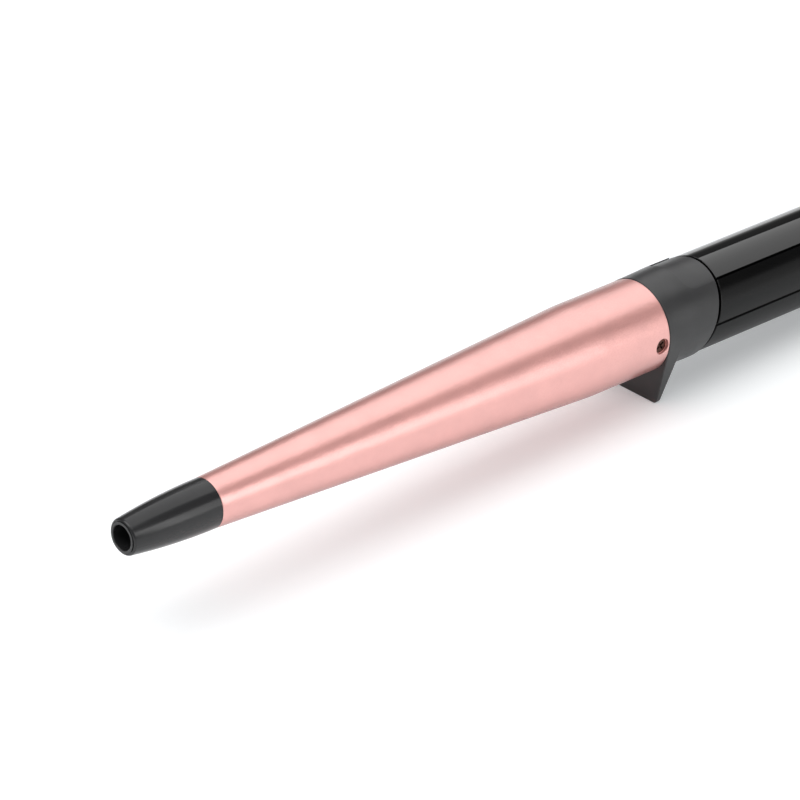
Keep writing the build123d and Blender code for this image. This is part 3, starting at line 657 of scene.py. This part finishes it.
# Height above the horizon in degrees, and grey
WALL_LEVELS = ((0.0, 0.8), (3.0, 0.3), (10.0, 0.1))
CEILING_ANGLE = 38.0
# Millimetres, as for the lens
SENSOR_WIDTH = 36.0
CLIP_START = 0.05
# Each lamp's middle, aim, width, height and brightness
LAMPS = {
    "top_softbox": ((0.55, 0.325, 0.9), (0.55, 0.325, 0.0), 0.7, 1.31, "top_light"),
    "rear_softbox": ((1.2, 0.545, 0.9), (1.2, 0.545, 0.0), 0.6, 1.75, "top_light"),
    "front_softbox": ((0.545, -0.9, 0.33), (0.545, 0.0, 0.33), 0.35, 0.54, "front_light"),
    "low_softbox": ((0.28, -0.9, 0.33), (0.28, 0.0, 0.33), 0.18, 0.54, "low_light"),
    "side_softbox": ((1.035, -0.9, 0.3), (1.035, 0.0, 0.3), 0.63, 0.56, "side_light"),
    "fill_softbox": ((-0.2, -0.05, 1.4), (-0.2, -0.05, 0.0), 1.2, 1.7, "fill_light"),
    "tip_softbox": ((-0.45, 0.12, 0.4), (-0.15, 0.0, 0.0), 0.4, 0.4, "tip_light"),
    "camera_softbox": ((-0.1, -1.2, 0.7), (0.0, 0.0, 0.0), 0.9, 0.8, "camera_light"),
}


def softbox(name, centre, target, width, height, radiance):
    """A rectangular lamp that faces its target, with its width as near to X as it can be."""
    lamp = bpy.data.lights.new(name, "AREA")
    lamp.shape = "RECTANGLE"
    lamp.size = width
    lamp.size_y = height
    lamp.energy = radiance * math.pi * width * height
    back = (Vector(centre) - Vector(target)).normalized()
    along = (Vector((1, 0, 0)) - back * back.x).normalized()
    turn = Matrix((along, back.cross(along), back)).transposed()
    piece = bpy.data.objects.new(name, lamp)
    piece.matrix_world = Matrix.Translation(centre) @ turn.to_4x4()
    piece.visible_camera = False
    bpy.context.scene.collection.objects.link(piece)


def add_table(finish):
    """Round table top."""
    points = []
    for ring in range(1, TABLE_RINGS + 1):
        radius = TABLE_REACH * ring / TABLE_RINGS
        for column in range(TABLE_COLUMNS):
            turn = 2 * math.pi * column / TABLE_COLUMNS
            points.append((radius * math.cos(turn), radius * math.sin(turn), 0.0))
    faces = ring_faces(TABLE_RINGS, TABLE_COLUMNS, False)
    faces.append(tuple(reversed(range(TABLE_COLUMNS))))
    mesh = bpy.data.meshes.new("table")
    mesh.from_pydata(points, [], faces)
    mesh.materials.append(finish)
    table = bpy.data.objects.new("table", mesh)
    bpy.context.scene.collection.objects.link(table)


def add_camera(studio):
    """Camera at the photograph's place, aimed by the barrel's front end."""
    barrel_front = WAND @ Vector((extent("barrel")[0].x, 0, 0))
    azimuth, elevation = studio.azimuth, studio.elevation
    right = Vector((math.cos(azimuth), -math.sin(azimuth), 0))
    ahead = Vector((math.sin(azimuth), math.cos(azimuth), 0)) * math.cos(elevation)
    ahead.z = -math.sin(elevation)
    right.rotate(Matrix.Rotation(studio.roll, 3, ahead))
    up = right.cross(ahead)
    place = barrel_front + right * studio.shift_left + up * studio.shift_down - ahead * studio.distance
    data = bpy.data.cameras.new("camera")
    data.lens = studio.lens
    data.sensor_width = SENSOR_WIDTH
    data.clip_start = CLIP_START
    camera = bpy.data.objects.new("camera", data)
    camera.matrix_world = Matrix.Translation(place) @ Matrix((right, up, -ahead)).transposed().to_4x4()
    bpy.context.scene.collection.objects.link(camera)
    bpy.context.scene.camera = camera


def set_room(ambient):
    """Pale horizon that falls off to dark walls and a dim ceiling."""
    world = bpy.data.worlds.new("room")
    world.use_nodes = True
    tree = world.node_tree
    direction = tree.nodes.new("ShaderNodeTexCoord").outputs["Generated"]
    parts = tree.nodes.new("ShaderNodeSeparateXYZ")
    tree.links.new(direction, parts.inputs["Vector"])
    fall = tree.nodes.new("ShaderNodeValToRGB")
    tree.links.new(parts.outputs["Z"], fall.inputs["Fac"])
    stops = fall.color_ramp.elements
    for index, (height, grey) in enumerate((*WALL_LEVELS, (CEILING_ANGLE, ambient))):
        stop = stops[index] if index < len(stops) else stops.new(1.0)
        stop.position = math.sin(math.radians(height))
        stop.color = (grey, grey, grey, 1.0)
    tree.links.new(fall.outputs["Color"], tree.nodes["Background"].inputs["Color"])
    bpy.context.scene.world = world


# Operators


class WAND_OT_stage(bpy.types.Operator):
    """Set up the table, lamps, room and camera"""

    bl_idname = "wand.stage"
    bl_label = "Stage"
    bl_options = {"REGISTER", "UNDO"}

    def execute(self, context):
        colours, studio = context.scene.wand_colours, context.scene.wand_studio
        context.scene.view_settings.view_transform = "Standard"
        add_table(table_white(colours.floor, studio.floor_glow, LIT_REACH, WHITE_REACH))
        for name, (place, aim, width, height, brightness) in LAMPS.items():
            softbox(name, place, aim, width, height, getattr(studio, brightness))
        set_room(studio.ambient)
        add_camera(studio)
        return {"FINISHED"}


class WAND_OT_barrel(bpy.types.Operator):
    """Make the rose-gold barrel and finish its screws"""

    bl_idname = "wand.barrel"
    bl_label = "Barrel"
    bl_options = {"REGISTER", "UNDO"}

    def execute(self, context):
        make_barrel(context.scene.wand_sizes, rose_gold(context.scene.wand_colours.barrel))
        # The screws' copper is painted very dark: painted shade for the deep holes they sit in.
        copper_with_painted_shade = worked_metal("copper_painted_shade", RECORD_COLOURS["copper_steel"], roughness=0.4)
        paint(copper_with_painted_shade, "barrel_screws")
        return {"FINISHED"}


class WAND_OT_cool_tip(bpy.types.Operator):
    """Finish the cool tip and its plug, and the screws of the tip and the handle"""

    bl_idname = "wand.cool_tip"
    bl_label = "Cool tip"
    bl_options = {"REGISTER", "UNDO"}

    def execute(self, context):
        black = context.scene.wand_colours.tip
        moulding = satin_plastic("tip_moulding", black, roughness=0.2, specular=0.4, relief=0.002 * MM)
        paint(moulding, "cool_tip")
        zinc = worked_metal("zinc_plating", RECORD_COLOURS["steel"], roughness=0.35)
        paint(zinc, "tip_screw", "handle_screws")
        paint(worked_metal("turned_plug", RECORD_COLOURS["plug_metal"], roughness=0.3), "tip_plug")
        return {"FINISHED"}


class WAND_OT_collar(bpy.types.Operator):
    """Finish the collar with its foot, and the seat inside"""

    bl_idname = "wand.collar"
    bl_label = "Collar"
    bl_options = {"REGISTER", "UNDO"}

    def execute(self, context):
        grey = context.scene.wand_colours.collar
        moulding = satin_plastic("collar_moulding", grey, roughness=0.34, specular=0.4, relief=0.003 * MM)
        paint(moulding, "collar")
        paint(satin_plastic("seat_moulding", RECORD_COLOURS["seat_black"], roughness=0.55), "barrel_seat")
        return {"FINISHED"}


class WAND_OT_handle(bpy.types.Operator):
    """Finish the handle shells, the strip and the tail ring"""

    bl_idname = "wand.handle"
    bl_label = "Handle"
    bl_options = {"REGISTER", "UNDO"}

    def execute(self, context):
        colours = context.scene.wand_colours
        paint(gloss_plastic("upper_gloss", colours.handle, roughness=0.2, specular=0.25), "handle_upper")
        paint(gloss_plastic("lower_gloss", colours.lower, roughness=0.32, specular=0.12), "handle_lower")
        paint(gloss_plastic("strip_gloss", colours.handle, roughness=0.03, specular=0.55), "top_panel")
        paint(satin_plastic("tail_moulding", RECORD_COLOURS["tail_grey"], roughness=0.4), "tail_ring")
        return {"FINISHED"}


class WAND_OT_keys(bpy.types.Operator):
    """Finish the keys and windows, and print the signs"""

    bl_idname = "wand.keys"
    bl_label = "Keys"
    bl_options = {"REGISTER", "UNDO"}

    def execute(self, context):
        sizes, colours = context.scene.wand_sizes, context.scene.wand_colours
        paint(clear_plastic("window_clear", RECORD_COLOURS["light_clear"]), "light_pipes")
        moulding = satin_plastic("key_moulding", colours.keys, roughness=0.45)
        ink = printed_sign("sign_ink", colours.signs)
        reach, width, ring = sizes.sign_reach, sizes.sign_width, sizes.sign_ring
        signs = {
            "plus": [arms_outline(4, reach, width)],
            "minus": [arms_outline(2, reach, width)],
            "power": [ring_outline(ring, width), stroke_outline(reach, width, ring)],
        }
        for key, outlines in signs.items():
            paint(moulding, f"{key}_button")
            lay_sign(f"{key}_sign", f"{key}_button", f"{key}_key", outlines, sizes.sign_rise, ink)
        return {"FINISHED"}


class WAND_OT_cord_outlet(bpy.types.Operator):
    """Finish the swivelling cord outlet, and the brass of its contacts and of the heater"""

    bl_idname = "wand.cord_outlet"
    bl_label = "Cord outlet"
    bl_options = {"REGISTER", "UNDO"}

    def execute(self, context):
        paint(satin_plastic("gland_moulding", RECORD_COLOURS["gland_black"], roughness=0.5), "swivel_gland")
        brass = worked_metal("contact_brass", RECORD_COLOURS["contact_brass"], roughness=0.28)
        paint(brass, "slip_rings", "brush_springs", "electrode_upper", "electrode_lower")
        return {"FINISHED"}


class WAND_OT_heater(bpy.types.Operator):
    """Finish the heater pack inside the barrel"""

    bl_idname = "wand.heater"
    bl_label = "Heater"
    bl_options = {"REGISTER", "UNDO"}

    def execute(self, context):
        aluminium = worked_metal("shoe_aluminium", RECORD_COLOURS["shoe_metal"], roughness=0.4)
        paint(aluminium, "heat_shoe_upper", "heat_shoe_lower")
        film = plain_insulator("film_amber", RECORD_COLOURS["film_amber"], roughness=0.25)
        paint(film, "film_upper", "film_lower")
        paint(plain_insulator("chip_ceramic", RECORD_COLOURS["chip_ceramic"], roughness=0.7), "ptc_chips")
        paint(plain_insulator("frame_white", RECORD_COLOURS["frame_white"], roughness=0.6), "chip_frame")
        paint(plain_insulator("mica_sheet", RECORD_COLOURS["mica"], roughness=0.35), "mica_disc")
        paint(plain_insulator("sensor_glass", RECORD_COLOURS["sensor_glass"], roughness=0.2), "thermistor")
        paint(worked_metal("fuse_can", RECORD_COLOURS["fuse_metal"], roughness=0.3), "thermal_fuse")
        paint(plain_insulator("lead_sleeve", RECORD_COLOURS["lead_sleeve"], roughness=0.5), "heater_leads")
        return {"FINISHED"}


class WAND_OT_electronics(bpy.types.Operator):
    """Finish the board in the handle and what sits on it"""

    bl_idname = "wand.electronics"
    bl_label = "Electronics"
    bl_options = {"REGISTER", "UNDO"}

    def execute(self, context):
        lacquer = plain_insulator("board_lacquer", RECORD_COLOURS["board_green"], roughness=0.35)
        paint(lacquer, "control_board")
        black = satin_plastic("package_black", RECORD_COLOURS["part_black"], roughness=0.5)
        paint(black, "triac", "controller_chip", "tact_switches")
        paint(satin_plastic("block_grey", RECORD_COLOURS["block_grey"], roughness=0.55), "terminal_block")
        yellow = plain_insulator("capacitor_yellow", RECORD_COLOURS["capacitor_yellow"], roughness=0.4)
        paint(yellow, "film_capacitor")
        paint(clear_plastic("lamp_red", RECORD_COLOURS["lamp_red"]), "indicator_leds")
        return {"FINISHED"}


OPERATORS = (
    WAND_OT_stage,
    WAND_OT_barrel,
    WAND_OT_cool_tip,
    WAND_OT_collar,
    WAND_OT_handle,
    WAND_OT_keys,
    WAND_OT_cord_outlet,
    WAND_OT_heater,
    WAND_OT_electronics,
)
GROUPS = {"wand_sizes": WandSizes, "wand_colours": WandColours, "wand_studio": WandStudio}


class WAND_PT_panel(bpy.types.Panel):
    """Sidebar panel of the curling wand"""

    bl_idname = "WAND_PT_panel"
    bl_label = "Curling Wand"
    bl_space_type = "VIEW_3D"
    bl_region_type = "UI"
    bl_category = "Wand"

    def draw(self, context):
        for operator in OPERATORS:
            self.layout.operator(operator.bl_idname)
        for group in GROUPS:
            box = self.layout.box()
            settings = getattr(context.scene, group)
            for name in settings.__annotations__:
                box.prop(settings, name)


def register():
    """Register the classes and hang the settings on the scene."""
    for group, kind in GROUPS.items():
        bpy.utils.register_class(kind)
        setattr(bpy.types.Scene, group, PointerProperty(type=kind))
    for kind in (*OPERATORS, WAND_PT_panel):
        bpy.utils.register_class(kind)


def unregister():
    """Take away what register added."""
    for kind in (WAND_PT_panel, *reversed(OPERATORS)):
        bpy.utils.unregister_class(kind)
    for group, kind in GROUPS.items():
        delattr(bpy.types.Scene, group)
        bpy.utils.unregister_class(kind)


def main():
    """Build everything in order."""
    register()
    for operator in OPERATORS:
        group, name = operator.bl_idname.split(".")
        getattr(getattr(bpy.ops, group), name)()


if __name__ == "__main__":
    main()
